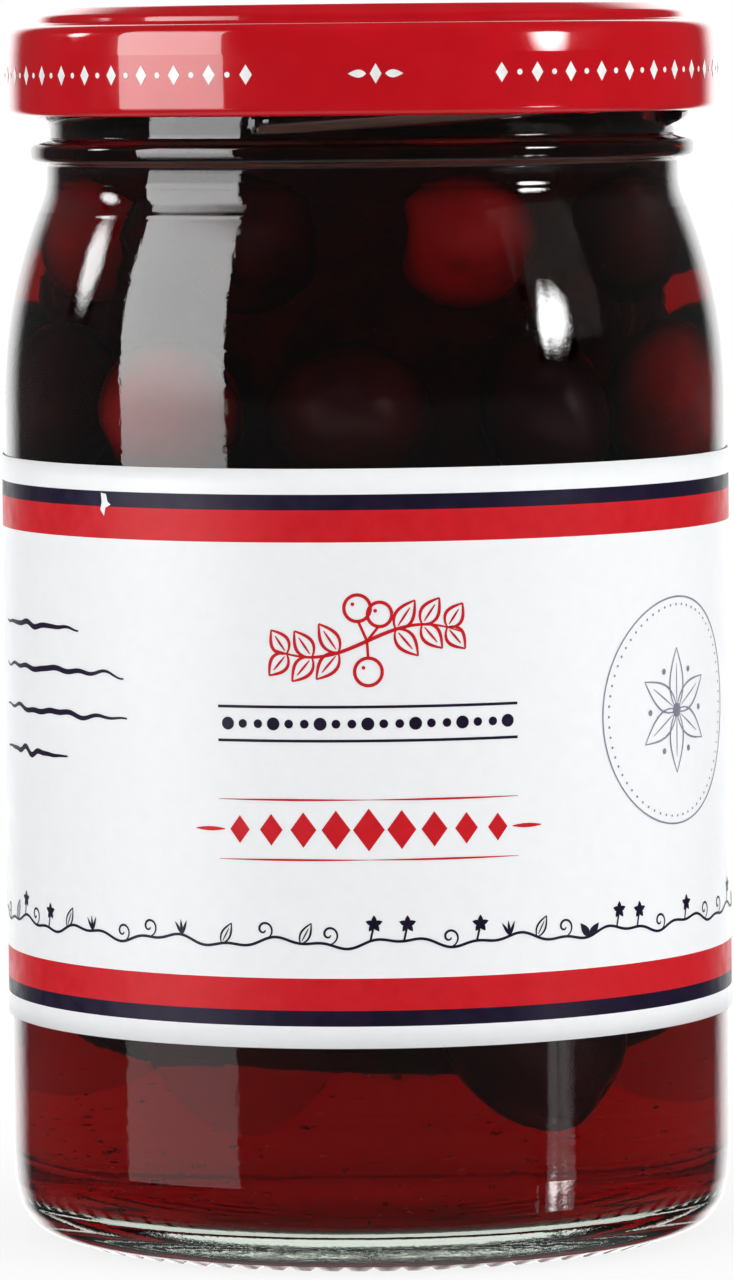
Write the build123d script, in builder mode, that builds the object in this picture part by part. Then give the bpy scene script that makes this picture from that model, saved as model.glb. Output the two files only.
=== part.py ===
# Preserve jar of whole fruit in syrup, closed by a twist-off lug lid.
# Millimetres, +Z up. The origin is the centre of the base, and the label's centre faces -Y.
import os
from math import acos, atan2, cos, degrees, pi, radians, sin, sqrt

from build123d import *

os.makedirs("parts", exist_ok=True)

# Glass body, whose widths are insets from the body's radius
body_diameter = 70.8
wall = 2.2
jar_height = 118.8
bearing_inset = 7.0
bearing_width = 2.2
heel_low_inset = 2.6
heel_low_height = 1.2
heel_middle_inset = 1.2
heel_middle_height = 3.4
heel_high_inset = 0.4
heel_high_height = 6.1
heel_height = 8.9
push_up = 1.8
push_up_inset = 1.9
floor_height = 4.4
inner_heel_radius = 5.5
shoulder_radius = 50.0

# Glass neck and finish, whose heights are drops below the sealing rim
neck_inset = 4.35
neck_drop = 16.6
bead_proud = 1.95
bead_height = 2.6
bead_face = 1.2
bead_drop = 12.85
finish_inset = 0.35
rim_width = 2.5
rim_chamfer = 0.8

# Interrupted thread, one start for each lug
start_count = 4
thread_lead = 12.0
thread_sweep_angle = 95.0
thread_start_angle = -109.0
thread_drop = 11.05
thread_depth = 1.5
thread_root_width = 2.2
thread_crest_width = 0.8
thread_crest_rise = 0.9
thread_sections = 7
thread_embed = 0.4
thread_end_share = 0.35

# Sheet-steel lid, whose skirt stands clear of the glass finish
skirt_gap = 4.15
sheet = 0.22
ledge_width = 2.75
ledge_fall = 0.2
ring_rise = 1.7
bevel_width = 2.0
bevel_fall = 0.9
ring_flat_width = 3.6
panel_step = 1.0
panel_sink = 0.9
lid_chamfer = 1.0
curl_diameter = 1.5
curl_sides = 6

# Lugs, pressed inwards out of the curl
lug_angle = -45.0
lug_gap = 0.8
lug_width = 7.0
lug_thickness = 0.45
lug_proud = 0.05
lug_corner_radius = 0.8
lug_clearance = 0.1

# Sealing ring
ring_thickness = 1.0
ring_inset = 0.7
ring_overhang = 0.65
rim_clearance = 0.05
bond_clearance = 0.03

# Paper label
label_bottom = 21.9
label_height = 54.7
label_paper = 0.12
label_glue = 0.05
label_gap = 9.0

# Steps that each round stretch of an outline is drawn in
shoulder_steps = 3
inner_shoulder_steps = 2
inner_heel_steps = 2

# Syrup and fruit
fill_drop = 8.1
syrup_clearance = 0.05
fruit_cover = 5.8
fruit_spacing = 0.5
fruit_wall_gap = 0.3
fruit_film = 0.1
fruit_side_count = 5
lowest_fruit = 7.0
fruit_lean_angle = 60.0
fruit_spin_angle = 137.5
lean_steps = 4

cherry_width, cherry_height = 15.0, 14.4
plum_width, plum_height = 20.0, 22.0
strawberry_width, strawberry_height = 18.6, 20.0
grape_width, grape_height = 13.8, 15.2

# Each outline pairs a share of the fruit's height with a share of its width
cherry_shares = ((0, 0.38), (0.30, 0.96), (0.62, 1), (1, 0.38))
plum_shares = ((0, 0.28), (0.30, 0.92), (0.64, 0.98), (1, 0.30))
strawberry_shares = ((0, 0.14), (0.38, 0.76), (0.74, 1), (1, 0.40))
grape_shares = ((0, 0.32), (0.30, 0.94), (0.66, 0.98), (1, 0.34))

fruit_kinds = {
    "cherry": (cherry_width, cherry_height, cherry_shares),
    "plum": (plum_width, plum_height, plum_shares),
    "strawberry": (strawberry_width, strawberry_height, strawberry_shares),
    "grape": (grape_width, grape_height, grape_shares),
}

# Layers from the top down: how many round the wall, their kinds, the middle fruit, the first angle
fruit_layers = (
    (7, ("cherry",), None, -68.0),
    (9, ("cherry", "grape", "cherry"), None, -93.0),
    (6, ("strawberry",), "strawberry", -75.0),
    (9, ("grape", "cherry"), None, -100.0),
    (5, ("plum", "plum", "strawberry"), None, -54.0),
)

# Derived sizes of the glass
body_radius = body_diameter / 2
inner_radius = body_radius - wall
bearing_radius = body_radius - bearing_inset
neck_radius = body_radius - neck_inset
finish_radius = neck_radius - finish_inset
bead_radius = finish_radius + bead_proud
mouth_radius = finish_radius - rim_width
inner_shoulder_radius = shoulder_radius - wall
neck_z = jar_height - neck_drop
shoulder_centre_r = body_radius - shoulder_radius
shoulder_z = neck_z - sqrt(shoulder_radius**2 - (neck_radius - shoulder_centre_r) ** 2)
inner_neck_z = shoulder_z + sqrt(inner_shoulder_radius**2 - (mouth_radius - shoulder_centre_r) ** 2)
bead_z = jar_height - bead_drop
thread_z = jar_height - thread_drop
fill_z = jar_height - fill_drop

# Derived widths of the lid
lid_radius = finish_radius + skirt_gap
ring_radius = lid_radius - ledge_width
ring_flat_radius = ring_radius - bevel_width
panel_edge_radius = ring_flat_radius - ring_flat_width
lug_inner_radius = finish_radius + lug_gap
curl_radius = curl_diameter / 2

# Derived heights of the lid: its lugs follow the thread's under flank, its top the sealing ring
lug_turn = (lug_angle - thread_start_angle) % (360 / start_count)
flank_rise = thread_crest_rise * lug_gap / thread_depth
lug_top_z = thread_z + thread_lead * lug_turn / 360 + flank_rise - lug_clearance
skirt_z = lug_top_z - lug_thickness + lug_proud
lid_top_z = jar_height + rim_clearance + ring_thickness + bond_clearance + sheet
ledge_z = lid_top_z - ring_rise


def polar(radius, angle, height=0):
    """A point at an angle in degrees about the jar's axis."""
    return (radius * cos(radians(angle)), radius * sin(radians(angle)), height)


def arc_points(centre, radius, first, last, steps):
    """Points along an arc of an outline, from one angle in degrees to another."""
    angles = [first + (last - first) * step / steps for step in range(steps + 1)]
    return [(centre[0] + radius * cos(radians(a)), centre[1] + radius * sin(radians(a))) for a in angles]


def shoulder_points(radius, end_r, steps):
    """Points up the shoulder, upright where it leaves the body, to where it meets the neck."""
    end = degrees(acos((end_r - shoulder_centre_r) / radius))
    return arc_points((shoulder_centre_r, shoulder_z), radius, 0, end, steps)


def cavity_points(gap, top_z):
    """The outline of the space inside the glass, drawn in by a gap, up to a height."""
    wall_r = inner_radius - gap
    heel_z = floor_height + gap + inner_heel_radius
    heel = arc_points((wall_r - inner_heel_radius, heel_z), inner_heel_radius, -90, 0, inner_heel_steps)
    shoulder = shoulder_points(inner_shoulder_radius - gap, mouth_radius - gap, inner_shoulder_steps)
    return [(0, floor_height + gap), *heel, *shoulder, (mouth_radius - gap, top_z), (0, top_z)]


# Glass jar
with BuildPart() as thread:
    for step in range(thread_sections):
        turned = thread_sweep_angle * step / (thread_sections - 1)
        angle = thread_start_angle + turned
        height = thread_z + thread_lead * turned / 360
        share = thread_end_share if step == thread_sections - 1 else 1
        crest_r = finish_radius + thread_depth * share
        crest_z = thread_crest_rise
        crest_top = thread_crest_rise + thread_crest_width * share
        with BuildSketch(Plane((0, 0, height), x_dir=polar(1, angle), z_dir=polar(1, angle - 90))):
            with BuildLine():
                Polyline(
                    (finish_radius - thread_embed, 0),
                    (finish_radius, 0),
                    (crest_r, crest_z),
                    (crest_r, crest_top),
                    (finish_radius, thread_root_width),
                    (finish_radius - thread_embed, thread_root_width),
                    close=True,
                )
            make_face()
    loft()

with BuildPart() as glass_jar:
    with BuildSketch(Plane.XZ):
        with BuildLine():
            Polyline(
                (0, push_up),
                (bearing_radius - push_up_inset, push_up),
                (bearing_radius, 0),
                (bearing_radius + bearing_width, 0),
                (body_radius - heel_low_inset, heel_low_height),
                (body_radius - heel_middle_inset, heel_middle_height),
                (body_radius - heel_high_inset, heel_high_height),
                (body_radius, heel_height),
                *shoulder_points(shoulder_radius, neck_radius, shoulder_steps),
                (neck_radius, bead_z - bead_height / 2),
                (bead_radius, bead_z - bead_face / 2),
                (bead_radius, bead_z + bead_face / 2),
                (finish_radius, bead_z + bead_height / 2),
                (finish_radius, jar_height - rim_chamfer),
                (finish_radius - rim_chamfer, jar_height),
                (0, jar_height),
                close=True,
            )
        make_face()
    revolve(axis=Axis.Z)
    with BuildSketch(Plane.XZ):
        with BuildLine():
            Polyline(*cavity_points(0, jar_height), close=True)
        make_face()
    revolve(axis=Axis.Z, mode=Mode.SUBTRACT)
    rim_edges = glass_jar.edges().filter_by(GeomType.CIRCLE).group_by(Axis.Z)[-1]
    chamfer(rim_edges.sort_by(SortBy.RADIUS)[0], rim_chamfer)
    with PolarLocations(0, start_count):
        add(thread.part)

glass_jar.part.label = "glass_jar"
export_step(glass_jar.part, "parts/glass_jar.step")

# Lid shell, one thickness of sheet from the centre panel to the curl
lid_outline = [
    (0, lid_top_z - panel_sink),
    (panel_edge_radius - panel_step, lid_top_z - panel_sink),
    (panel_edge_radius, lid_top_z),
    (ring_flat_radius, lid_top_z),
    (ring_radius, lid_top_z - bevel_fall),
    (ring_radius, ledge_z),
    (lid_radius - lid_chamfer, ledge_z - ledge_fall),
    (lid_radius, ledge_z - ledge_fall - lid_chamfer),
    (lid_radius, skirt_z + curl_radius),
]

with BuildPart() as lug:
    lug_tilt = degrees(atan2(thread_lead, 2 * pi * lug_inner_radius))
    lug_reach = lid_radius - curl_radius - lug_inner_radius
    lug_root = polar(lug_inner_radius, lug_angle, lug_top_z)
    with BuildSketch(Plane(lug_root, x_dir=polar(1, lug_angle)).rotated((lug_tilt, 0, 0))):
        with Locations((lug_reach / 2, 0)):
            Rectangle(lug_reach, lug_width)
        chamfer(vertices().group_by(Axis.X)[0], lug_corner_radius)
    extrude(amount=-lug_thickness)

with BuildPart() as lid_shell:
    with BuildSketch(Plane.XZ):
        with BuildLine():
            Polyline(*lid_outline)
            offset(amount=sheet, side=Side.RIGHT, kind=Kind.INTERSECTION)
        make_face()
        with Locations((lid_radius - curl_radius, skirt_z + curl_radius)):
            RegularPolygon(curl_radius, curl_sides, major_radius=False, rotation=180 / curl_sides)
    revolve(axis=Axis.Z)
    with PolarLocations(0, start_count):
        add(lug.part)

lid_shell.part.label = "lid_shell"
export_step(lid_shell.part, "parts/lid_shell.step")

# Sealing ring, cast into the channel under the raised ring
channel_gap = sheet + bond_clearance
seat_z = jar_height + rim_clearance
seal_inner_r = mouth_radius - ring_inset
seal_outer_r = finish_radius + ring_overhang
bevel_slope = bevel_fall / bevel_width
bevel_gap = channel_gap * sqrt(1 + bevel_slope**2)
bevel_z = lid_top_z - bevel_gap - bevel_slope * (seal_outer_r - ring_flat_radius)
with BuildPart() as sealing_ring:
    with BuildSketch(Plane.XZ):
        with BuildLine():
            Polyline(
                (seal_inner_r, lid_top_z - channel_gap),
                (seal_inner_r, seat_z),
                (seal_outer_r, seat_z),
                (seal_outer_r, bevel_z),
                (ring_flat_radius - channel_gap, lid_top_z - channel_gap),
                close=True,
            )
        make_face()
    revolve(axis=Axis.Z)

sealing_ring.part.label = "sealing_ring"
export_step(sealing_ring.part, "parts/sealing_ring.step")

# Paper label, wrapped round the body with its open gap at the back
with BuildPart() as label:
    label_inner_r = body_radius + label_glue
    gap_angle = degrees(label_gap / body_radius)
    with BuildSketch(Plane.XZ.rotated((0, 0, 90 + gap_angle / 2))):
        with Locations((label_inner_r + label_paper / 2, label_bottom + label_height / 2)):
            Rectangle(label_paper, label_height)
    revolve(axis=Axis.Z, revolution_arc=360 - gap_angle)

label.part.label = "label"
export_step(label.part, "parts/label.step")


# Fruit
def full_reach(kind):
    """The radius of the sphere that a fruit fits in before it is fitted to the jar."""
    width, height, shares = fruit_kinds[kind]
    return max(sqrt((height * (up - 0.5)) ** 2 + (width * girth / 2) ** 2) for up, girth in shares)


def room_in_layer(count, middle_kind):
    """The radius of the largest spheres that fit in a ring round the wall, and in the middle of it."""
    half_step = sin(pi / count)
    across = inner_radius - fruit_wall_gap
    room = (across * half_step - fruit_spacing / 2) / (1 + half_step)
    return min(room, (across - fruit_spacing) / 3) if middle_kind else room


layer_reaches = [max(full_reach(kind) for kind in kinds) for count, kinds, middle, angle in fruit_layers]
stack_top = fill_z - fruit_cover
stack_height = stack_top - floor_height - lowest_fruit
stack_gaps = fruit_spacing * (len(fruit_layers) - 1)
layer_shares = [
    room_in_layer(count, middle) / reach
    for reach, (count, kinds, middle, angle) in zip(layer_reaches, fruit_layers)
]
fruit_fit = min(1, (stack_height - stack_gaps) / (2 * sum(layer_reaches)), *layer_shares)


def draw_fruit(kind, place, film=0):
    """Shape one fruit as rings of corners about its place's axis, grown by a film of syrup."""
    width, height, shares = fruit_kinds[kind]
    corners = []
    for up, girth in shares:
        ring_height = (height * fruit_fit + 2 * film) * (up - 0.5)
        for side in range(fruit_side_count):
            corner = polar(width * fruit_fit * girth / 2 + film, 360 * side / fruit_side_count, ring_height)
            corners.append(place.from_local_coords(Vector(corner)))
    with BuildPart() as fruit:
        ConvexPolyhedron(corners)
    return fruit.part


def wall_distance(height, reach):
    """How far from the axis a fruit of some reach lies when it rests against the glass."""
    room = reach + fruit_wall_gap
    distance = inner_radius - room
    if height + reach > shoulder_z:
        rise = max(0, height - shoulder_z)
        distance = min(distance, shoulder_centre_r + sqrt((inner_shoulder_radius - room) ** 2 - rise**2))
    if height + reach > inner_neck_z:
        distance = min(distance, mouth_radius - room + (inner_neck_z - height) * room / inner_neck_z)
    return distance


fruit_places = []
layer_gap = (stack_height - 2 * fruit_fit * sum(layer_reaches)) / (len(fruit_layers) - 1)
layer_top = stack_top
for layer_reach, (count, kinds, middle_kind, first_angle) in zip(layer_reaches, fruit_layers):
    layer_z = layer_top - layer_reach * fruit_fit
    for place in range(count):
        kind = kinds[place % len(kinds)]
        distance = wall_distance(layer_z, full_reach(kind) * fruit_fit)
        fruit_places.append((kind, polar(distance, first_angle + 360 * place / count, layer_z)))
    if middle_kind:
        fruit_places.append((middle_kind, (0, 0, layer_z)))
    layer_top = layer_z - layer_reach * fruit_fit - layer_gap

kind_counts = dict.fromkeys(fruit_kinds, 0)
fruit_planes = []
for number, (kind, centre) in enumerate(fruit_places):
    kind_counts[kind] += 1
    lean = radians(fruit_lean_angle * (number % lean_steps) / lean_steps)
    spin = radians(fruit_spin_angle * number)
    axis = (sin(lean) * cos(spin), sin(lean) * sin(spin), cos(lean))
    place = Plane(origin=centre, x_dir=(cos(lean), 0, -axis[0]), z_dir=axis)
    fruit_planes.append((kind, place))
    fruit = draw_fruit(kind, place)
    fruit.label = f"{kind}_{kind_counts[kind]}"
    export_step(fruit, f"parts/{fruit.label}.step")

# Syrup, which fills the glass round the fruit
with BuildPart() as syrup:
    with BuildSketch(Plane.XZ):
        with BuildLine():
            Polyline(*cavity_points(syrup_clearance, fill_z), close=True)
        make_face()
    revolve(axis=Axis.Z)
    add([draw_fruit(kind, place, fruit_film) for kind, place in fruit_planes], mode=Mode.SUBTRACT)

syrup.part.label = "syrup"
export_step(syrup.part, "parts/syrup.step")

print("fruit", kind_counts, "fit", round(fruit_fit, 3), "lid top", round(lid_top_z, 2), "skirt", round(skirt_z, 2))
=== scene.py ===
import random
from math import acos, atan2, copysign, cos, degrees, dist, exp, pi, radians, sin, sqrt, tan

import bpy
from mathutils import Matrix, Vector, noise


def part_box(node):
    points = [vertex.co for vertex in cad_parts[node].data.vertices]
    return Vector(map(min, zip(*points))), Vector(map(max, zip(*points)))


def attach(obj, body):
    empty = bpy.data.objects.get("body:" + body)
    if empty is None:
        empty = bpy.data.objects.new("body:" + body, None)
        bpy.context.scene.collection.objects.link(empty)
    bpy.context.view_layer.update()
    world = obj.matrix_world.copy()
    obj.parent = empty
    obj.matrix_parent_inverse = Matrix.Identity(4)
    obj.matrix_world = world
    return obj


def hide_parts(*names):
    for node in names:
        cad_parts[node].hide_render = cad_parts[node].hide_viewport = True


# Looks of a preserve jar of fruit in syrup with a twist-off lid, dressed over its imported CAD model.
# Metres, +Z up, the label's centre towards -Y. Sizes below are millimetres until MM makes them metres.
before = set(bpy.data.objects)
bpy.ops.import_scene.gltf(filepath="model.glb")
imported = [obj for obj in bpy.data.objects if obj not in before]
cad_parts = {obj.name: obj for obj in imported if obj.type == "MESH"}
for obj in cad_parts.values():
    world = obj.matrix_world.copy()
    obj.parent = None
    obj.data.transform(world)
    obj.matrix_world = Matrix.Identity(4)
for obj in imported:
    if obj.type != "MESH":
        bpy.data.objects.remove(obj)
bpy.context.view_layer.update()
scene = bpy.context.scene

MM = 0.001
TURN = 2 * pi

# The frame's own sizes, which everything else hangs on
glass_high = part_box("glass_jar")[1]
lid_low, lid_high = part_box("lid_shell")
label_low, label_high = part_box("label")
ring_low, ring_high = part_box("sealing_ring")
BODY_R = glass_high.x / MM
JAR_TOP = glass_high.z / MM
LID_R = lid_high.x / MM
LID_TOP = lid_high.z / MM
SKIRT_Z = lid_low.z / MM
LABEL_R = -label_low.y / MM
LABEL_BOTTOM = label_low.z / MM
LABEL_TOP = label_high.z / MM
FILL_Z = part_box("syrup")[1].z / MM

# Glass body
WALL = 2.2
PUSH_UP = 1.8
PUSH_UP_R = 26.5
BEARING_IN_R = 28.4
BEARING_OUT_R = 30.6
HEEL_BENDS = ((33.3, 1.0), (34.7, 3.0), (35.2, 5.4), (35.4, 8.4))
FLOOR_Z = 3.5
FLOOR_DOME = ((0, 0.7), (12, 0.5), (24, 0.05))
INNER_HEEL = 5.2
SHOULDER_RADIUS = 50.0
NECK_R = 31.05
NECK_ROUND = 6.0
NECK_DROP = 16.6
BORE_R = 28.2
RIM_ROUND = 1.1

# Glass finish: the bead and the interrupted thread
FINISH_R = 30.7
BEAD_R = 32.6
BEAD_DROP = 12.85
BEAD_HALF = 1.35
THREAD_COUNT = 4
THREAD_START = -109.0
THREAD_SWEEP = 95.0
THREAD_DROP = 11.05
THREAD_LEAD = 12.0
THREAD_TALL = 2.2
THREAD_DEPTH = 1.45
THREAD_TOE = 2.0
THREAD_FADE = 30.0
THREAD_FAINT = 0.25
THREAD_UNDER, THREAD_OVER = 0.9, 0.6
FINISH_ROW = 0.25

# Fine marks of the glass mould
BASE_RING_PITCH = 3.1
BASE_RING_DEPTH = 0.07
KNURLS = 72
KNURL_DEPTH = 0.35
SEAM_ANGLE = 28.75
SEAM_WIDTH = 0.5
SEAM_PROUD = 0.06
SEAM_FOOT = 2.0
MOULD_LINES = (102.8, 100.2)
LINE_PROUD = 0.03
LINE_HALF = 0.35
LINE_ROW = 0.15

# Lid
SHEET = 0.22
PANEL_R = 25.5
PANEL_SINK = 0.9
PANEL_STEP = 1.0
CROWN_R = 30.1
RING_R = 32.1
RING_FALL = 0.9
RING_RISE = 1.7
LEDGE_FALL = 0.2
CURL_R = 0.75
LUG_ANGLE = -45.0
LUG_COUNT = 4
LUG_WIDTH = 7.0
LUG_REACH = 3.35
LUG_THICK = 0.45
LUG_ROUNDING = 0.22
LUG_TIP, LUG_TIP_SHARE = 1.6, 0.72
LUG_LIFT = 0.12

SEGMENTS = 288
LEAST_ROUNDING = 0.03


def srgb(red, green, blue):
    """A linear colour from its values from 0 to 255 as seen."""
    shares = [value / 255 for value in (red, green, blue)]
    return (*[s / 12.92 if s <= 0.04045 else ((s + 0.055) / 1.055) ** 2.4 for s in shares], 1)


def polar(radius, angle, height):
    """A point in metres from millimetres and degrees, where -90 faces the reader of the label."""
    turned = radians(angle)
    return (radius * MM * cos(turned), radius * MM * sin(turned), height * MM)


def smoothstep(low, high, value):
    share = min(1, max(0, (value - low) / (high - low)))
    return share * share * (3 - 2 * share)


def rounded(points, steps=5):
    """An outline of (r, z) ends and (r, z, rounding) corners, with each rounding drawn as a curve."""
    outline = []
    for index, corner in enumerate(points):
        here = Vector(corner[:2])
        reach = 0
        if len(corner) > 2:
            back = Vector(points[index - 1][:2]) - here
            ahead = Vector(points[index + 1][:2]) - here
            half = back.angle(ahead) / 2
            reach = min(corner[2] / tan(half), 0.49 * back.length, 0.49 * ahead.length)
        if reach < LEAST_ROUNDING:
            outline.append(tuple(here))
            continue
        start, end = here + back.normalized() * reach, here + ahead.normalized() * reach
        for step in range(steps + 1):
            share = step / steps
            outline.append(tuple(start.lerp(here, share).lerp(here.lerp(end, share), share)))
    return outline


def arc(centre, radius, first, last, steps):
    """Points (r, z) along an arc, from one angle in degrees to another."""
    angles = [radians(first + (last - first) * step / steps) for step in range(steps + 1)]
    return [(centre[0] + radius * cos(a), centre[1] + radius * sin(a)) for a in angles]


def rows_between(start, end, spacing):
    """Points (r, z) that divide a straight stretch, its ends included."""
    count = max(1, round(dist(start, end) / spacing))
    return [tuple(a + (b - a) * step / count for a, b in zip(start, end)) for step in range(count + 1)]


def divided(outline, spacing):
    """An outline with points added to its long stretches."""
    points = [outline[0]]
    for start, end in zip(outline, outline[1:]):
        points += rows_between(start, end, spacing)[1:]
    return points


def make_piece(name, vertices, faces, body, slot, *materials, smooth=True):
    """A mesh piece in metres that rides on a body and wears its materials."""
    mesh = bpy.data.meshes.new(name)
    mesh.from_pydata(vertices, [], faces)
    mesh.polygons.foreach_set("use_smooth", [smooth] * len(faces))
    mesh.update()
    piece = bpy.data.objects.new(name, mesh)
    scene.collection.objects.link(piece)
    for wears in materials:
        mesh.materials.append(wears)
    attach(piece, body)
    return piece


def lathe(outline, segments=SEGMENTS, shape=None):
    """Vertices and faces of a closed outline turned about the axis. shape moves each (r, angle, z)."""
    vertices, faces, rings = [], [], []
    for radius, height in outline:
        if radius < 1e-6:
            rings.append([len(vertices)])
            vertices.append((0, 0, height * MM))
            continue
        rings.append(list(range(len(vertices), len(vertices) + segments)))
        for segment in range(segments):
            angle = 360 * segment / segments
            r, a, z = shape(radius, angle, height) if shape else (radius, angle, height)
            vertices.append(polar(r, a, z))
    for lower, upper in zip(rings, rings[1:] + rings[:1]):
        if len(lower) == 1 and len(upper) == 1:
            continue
        for segment in range(segments):
            after = (segment + 1) % segments
            corners = [lower[segment % len(lower)], lower[after % len(lower)]]
            corners += [upper[after % len(upper)], upper[segment % len(upper)]]
            faces.append(list(dict.fromkeys(corners)))
    return vertices, faces


# Materials
WHITE = (1, 1, 1, 1)


def add_node(tree, kind, inputs=None, **settings):
    """A shader node with its settings, its inputs plain values or links from other sockets."""
    made = tree.nodes.new("ShaderNode" + kind)
    for key, value in settings.items():
        setattr(made, key, value)
    for name, value in (inputs or {}).items():
        if isinstance(value, bpy.types.NodeSocket):
            tree.links.new(value, made.inputs[name])
        else:
            made.inputs[name].default_value = value
    return made


def socket(tree, kind, output, inputs=None, **settings):
    """One output of a shader node made for it."""
    return add_node(tree, kind, inputs, **settings).outputs[output]


def shaded_place(tree):
    """The place on the object that is shaded, in metres."""
    return socket(tree, "TexCoord", "Object")


def axes(tree, place):
    """The sockets of a place's three coordinates."""
    return add_node(tree, "SeparateXYZ", {"Vector": place}).outputs


def eased(tree, value, start, end, low, high, pace="SMOOTHSTEP"):
    """A value that goes from low to high while another runs from start to end, easing unless told."""
    spread = {"Value": value, "From Min": start, "From Max": end, "To Min": low, "To Max": high}
    return socket(tree, "MapRange", "Result", spread, interpolation_type=pace)


def reckoned(tree, operation, *values, kind="Math", result="Value"):
    """What a maths node makes of sockets and numbers."""
    return socket(tree, kind, result, dict(enumerate(values)), operation=operation)


def blended(tree, share, plain, other):
    """One shader, with a share of another over it."""
    return socket(tree, "MixShader", "Shader", {"Fac": share, 1: plain, 2: other})


def white_glow(tree, strength):
    return socket(tree, "Emission", "Emission", {"Color": WHITE, "Strength": strength})


def show(tree, shader):
    """Puts a shader on a material's surface."""
    tree.links.new(shader, tree.nodes["Material Output"].inputs["Surface"])


def drive(made, name, value):
    """Links a socket to an input of a material's own shader."""
    made.node_tree.links.new(value, made.node_tree.nodes["Principled BSDF"].inputs[name])


def new_material(name, colour, roughness, **values):
    """A material whose shader has its plain values set on its own sockets."""
    made = bpy.data.materials.new(name)
    made.use_nodes = True
    values |= {"Base_Color": colour, "Roughness": roughness}
    for key, value in values.items():
        made.node_tree.nodes["Principled BSDF"].inputs[key.replace("_", " ")].default_value = value
    return made


def cloudy(tree, scale, detail, stretch=(1, 1, 1)):
    """Noise all over an object, whose scale is per metre."""
    moved = socket(tree, "Mapping", "Vector", {"Vector": shaded_place(tree), "Scale": stretch})
    return socket(tree, "TexNoise", "Fac", {"Vector": moved, "Scale": scale, "Detail": detail})


def mottle(made, colours, scale, detail=4.0):
    """Varies the colour between two or more shades as seen, in patches."""
    ramp = add_node(made.node_tree, "ValToRGB", {"Fac": cloudy(made.node_tree, scale, detail)})
    steps = ramp.color_ramp.elements
    while len(steps) < len(colours):
        steps.new(0.5)
    for index, (step, colour) in enumerate(zip(steps, colours)):
        step.position = 0.35 + 0.3 * index / (len(colours) - 1)
        step.color = srgb(*colour)
    drive(made, "Base Color", ramp.outputs["Color"])


def uneven_gloss(made, low, high, scale):
    """Varies the roughness, as fine smudges do."""
    smudge = cloudy(made.node_tree, scale, 5.0)
    drive(made, "Roughness", eased(made.node_tree, smudge, 0.3, 0.7, low, high, pace="LINEAR"))


def ripple(made, scale, height, detail=2.0, stretch=(1, 1, 1)):
    """Adds a bump whose height is in millimetres to the bumps that the surface has."""
    tree = made.node_tree
    raised = {"Height": cloudy(tree, scale, detail, stretch), "Distance": height * MM, "Strength": 1.0}
    bump = add_node(tree, "Bump", raised)
    normal = tree.nodes["Principled BSDF"].inputs["Normal"]
    if normal.is_linked:
        tree.links.new(normal.links[0].from_socket, bump.inputs["Normal"])
    drive(made, "Normal", bump.outputs["Normal"])


def paint_edge_shade(made, near, far, share):
    """Paints shade into the colour where a surface turns away: a painted darkening that stands in for the
    deeper cloudy syrup before a round fruit's edge.
    """
    tree = made.node_tree
    colour = tree.nodes["Principled BSDF"].inputs["Base Color"]
    facing = socket(tree, "LayerWeight", "Facing", {"Blend": 0.5})
    scaled = {0: colour.links[0].from_socket, "Scale": eased(tree, facing, near, far, 1.0, share)}
    drive(made, "Base Color", socket(tree, "VectorMath", "Vector", scaled, operation="SCALE"))


def let_lamps_through(made, tint):
    """Glass and liquid that shine lamplight through in a tint, instead of a black shadow."""
    tree = made.node_tree
    lamp_rays = socket(tree, "LightPath", "Is Shadow Ray")
    passing = socket(tree, "BsdfTransparent", "BSDF", {"Color": tint})
    show(tree, blended(tree, lamp_rays, tree.nodes["Principled BSDF"].outputs["BSDF"], passing))


GLASS_IOR = 1.52
SYRUP_IOR = 1.38
THIN_GLASS = srgb(243, 252, 248)
THICK_GLASS = srgb(206, 218, 202)


def clear_glass(name, ior):
    """Flint glass against air or syrup, greener in its thick base, with the waves of its mould."""
    made = new_material(name, THIN_GLASS, 0.0, Transmission_Weight=1.0, IOR=ior)
    tree = made.node_tree
    height = axes(tree, shaded_place(tree))["Z"]
    tint = add_node(tree, "ValToRGB", {"Fac": eased(tree, height, 6 * MM, 1 * MM, 0.0, 1.0)})
    for step, colour in zip(tint.color_ramp.elements, (THIN_GLASS, THICK_GLASS)):
        step.color = colour
    drive(made, "Base Color", tint.outputs["Color"])
    ripple(made, 35, 0.05, stretch=(1, 1, 0.35))
    ripple(made, 600, 0.014)
    return made


glass = clear_glass("flint_glass", GLASS_IOR)
ripple(glass, 3500, 0.0025, detail=1.0)
uneven_gloss(glass, 0.0, 0.015, 60)
let_lamps_through(glass, (0.93, 0.95, 0.94, 1))
wet_glass = clear_glass("wetted_glass", GLASS_IOR / SYRUP_IOR)
let_lamps_through(wet_glass, WHITE)

# The wetted glass bends light for the syrup too, so the syrup only tints it and shines at its open top
syrup = new_material("rum_syrup", WHITE, 0.0, Transmission_Weight=1.0, IOR=1.0, Coat_IOR=SYRUP_IOR)
syrup_tree = syrup.node_tree
syrup_height = axes(syrup_tree, shaded_place(syrup_tree))["Z"]
drive(syrup, "Coat Weight", reckoned(syrup_tree, "GREATER_THAN", syrup_height, (FILL_Z - 1) * MM))
let_lamps_through(syrup, (0.16, 0.008, 0.01, 1))
depth = {"Color": (0.815, 0.0, 0.08, 1), "Density": 158.0}
depth = socket(syrup_tree, "VolumeAbsorption", "Volume", depth)
syrup_tree.links.new(depth, syrup_tree.nodes["Material Output"].inputs["Volume"])

lacquer = new_material("red_lacquer", srgb(190, 10, 24), 0.12, Coat_Weight=0.9, Coat_Roughness=0.03,
                       Specular_IOR_Level=0.15)
mottle(lacquer, [(186, 9, 22), (194, 12, 27)], 220, 6.0)
uneven_gloss(lacquer, 0.1, 0.2, 350)
ripple(lacquer, 900, 0.012)

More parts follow.
